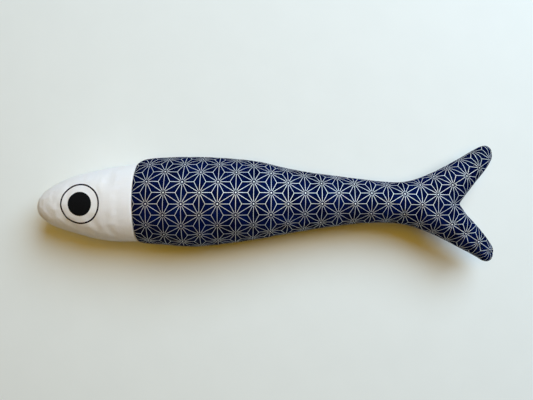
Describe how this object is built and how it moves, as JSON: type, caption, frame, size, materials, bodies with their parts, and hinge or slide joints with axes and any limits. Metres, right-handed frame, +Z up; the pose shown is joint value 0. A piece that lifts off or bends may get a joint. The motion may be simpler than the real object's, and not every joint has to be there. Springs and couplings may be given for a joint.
{
  "type": "stuffed fabric fish",
  "caption": "Stuffed fabric fish with a plain round-nosed head, round eyes, a star-printed tapering body and a forked tail, lying on its side.",
  "frame": {"origin": "under the middle of the fish, on the surface that it lies on", "axes": "+X from the nose to the tail, +Y from the belly edge to the back edge, +Z up, out of the fish's left side; the fish lies on its right side"},
  "size_m": [0.4982, 0.1266, 0.0841],
  "materials": {
    "head_cloth": "plain-weave cotton, white, matt",
    "printed_cloth": "plain-weave navy cotton with a silver-beige hemp-leaf star print",
    "eye_ring": "close satin stitch, very dark aubergine",
    "pupil": "black cotton patch, matt, stitched round its edge",
    "sewing_thread": "navy polyester sewing thread",
    "fibre_filling": "loose white polyester fibre"
  },
  "bodies": {
    "root": {"head_panel_left": "head_cloth", "head_panel_right": "head_cloth", "body_panel_left": "printed_cloth", "body_panel_right": "printed_cloth", "eye_ring_left": "eye_ring", "eye_ring_right": "eye_ring", "pupil_left": "pupil", "pupil_right": "pupil", "neck_seam_thread_left": "sewing_thread", "neck_seam_thread_right": "sewing_thread", "edge_seam_thread": "sewing_thread", "closing_thread": "sewing_thread", "head_filling": "fibre_filling", "body_filling": "fibre_filling", "tail_stem_filling": "fibre_filling", "upper_lobe_filling": "fibre_filling", "lower_lobe_filling": "fibre_filling"}
  },
  "joints": []
}
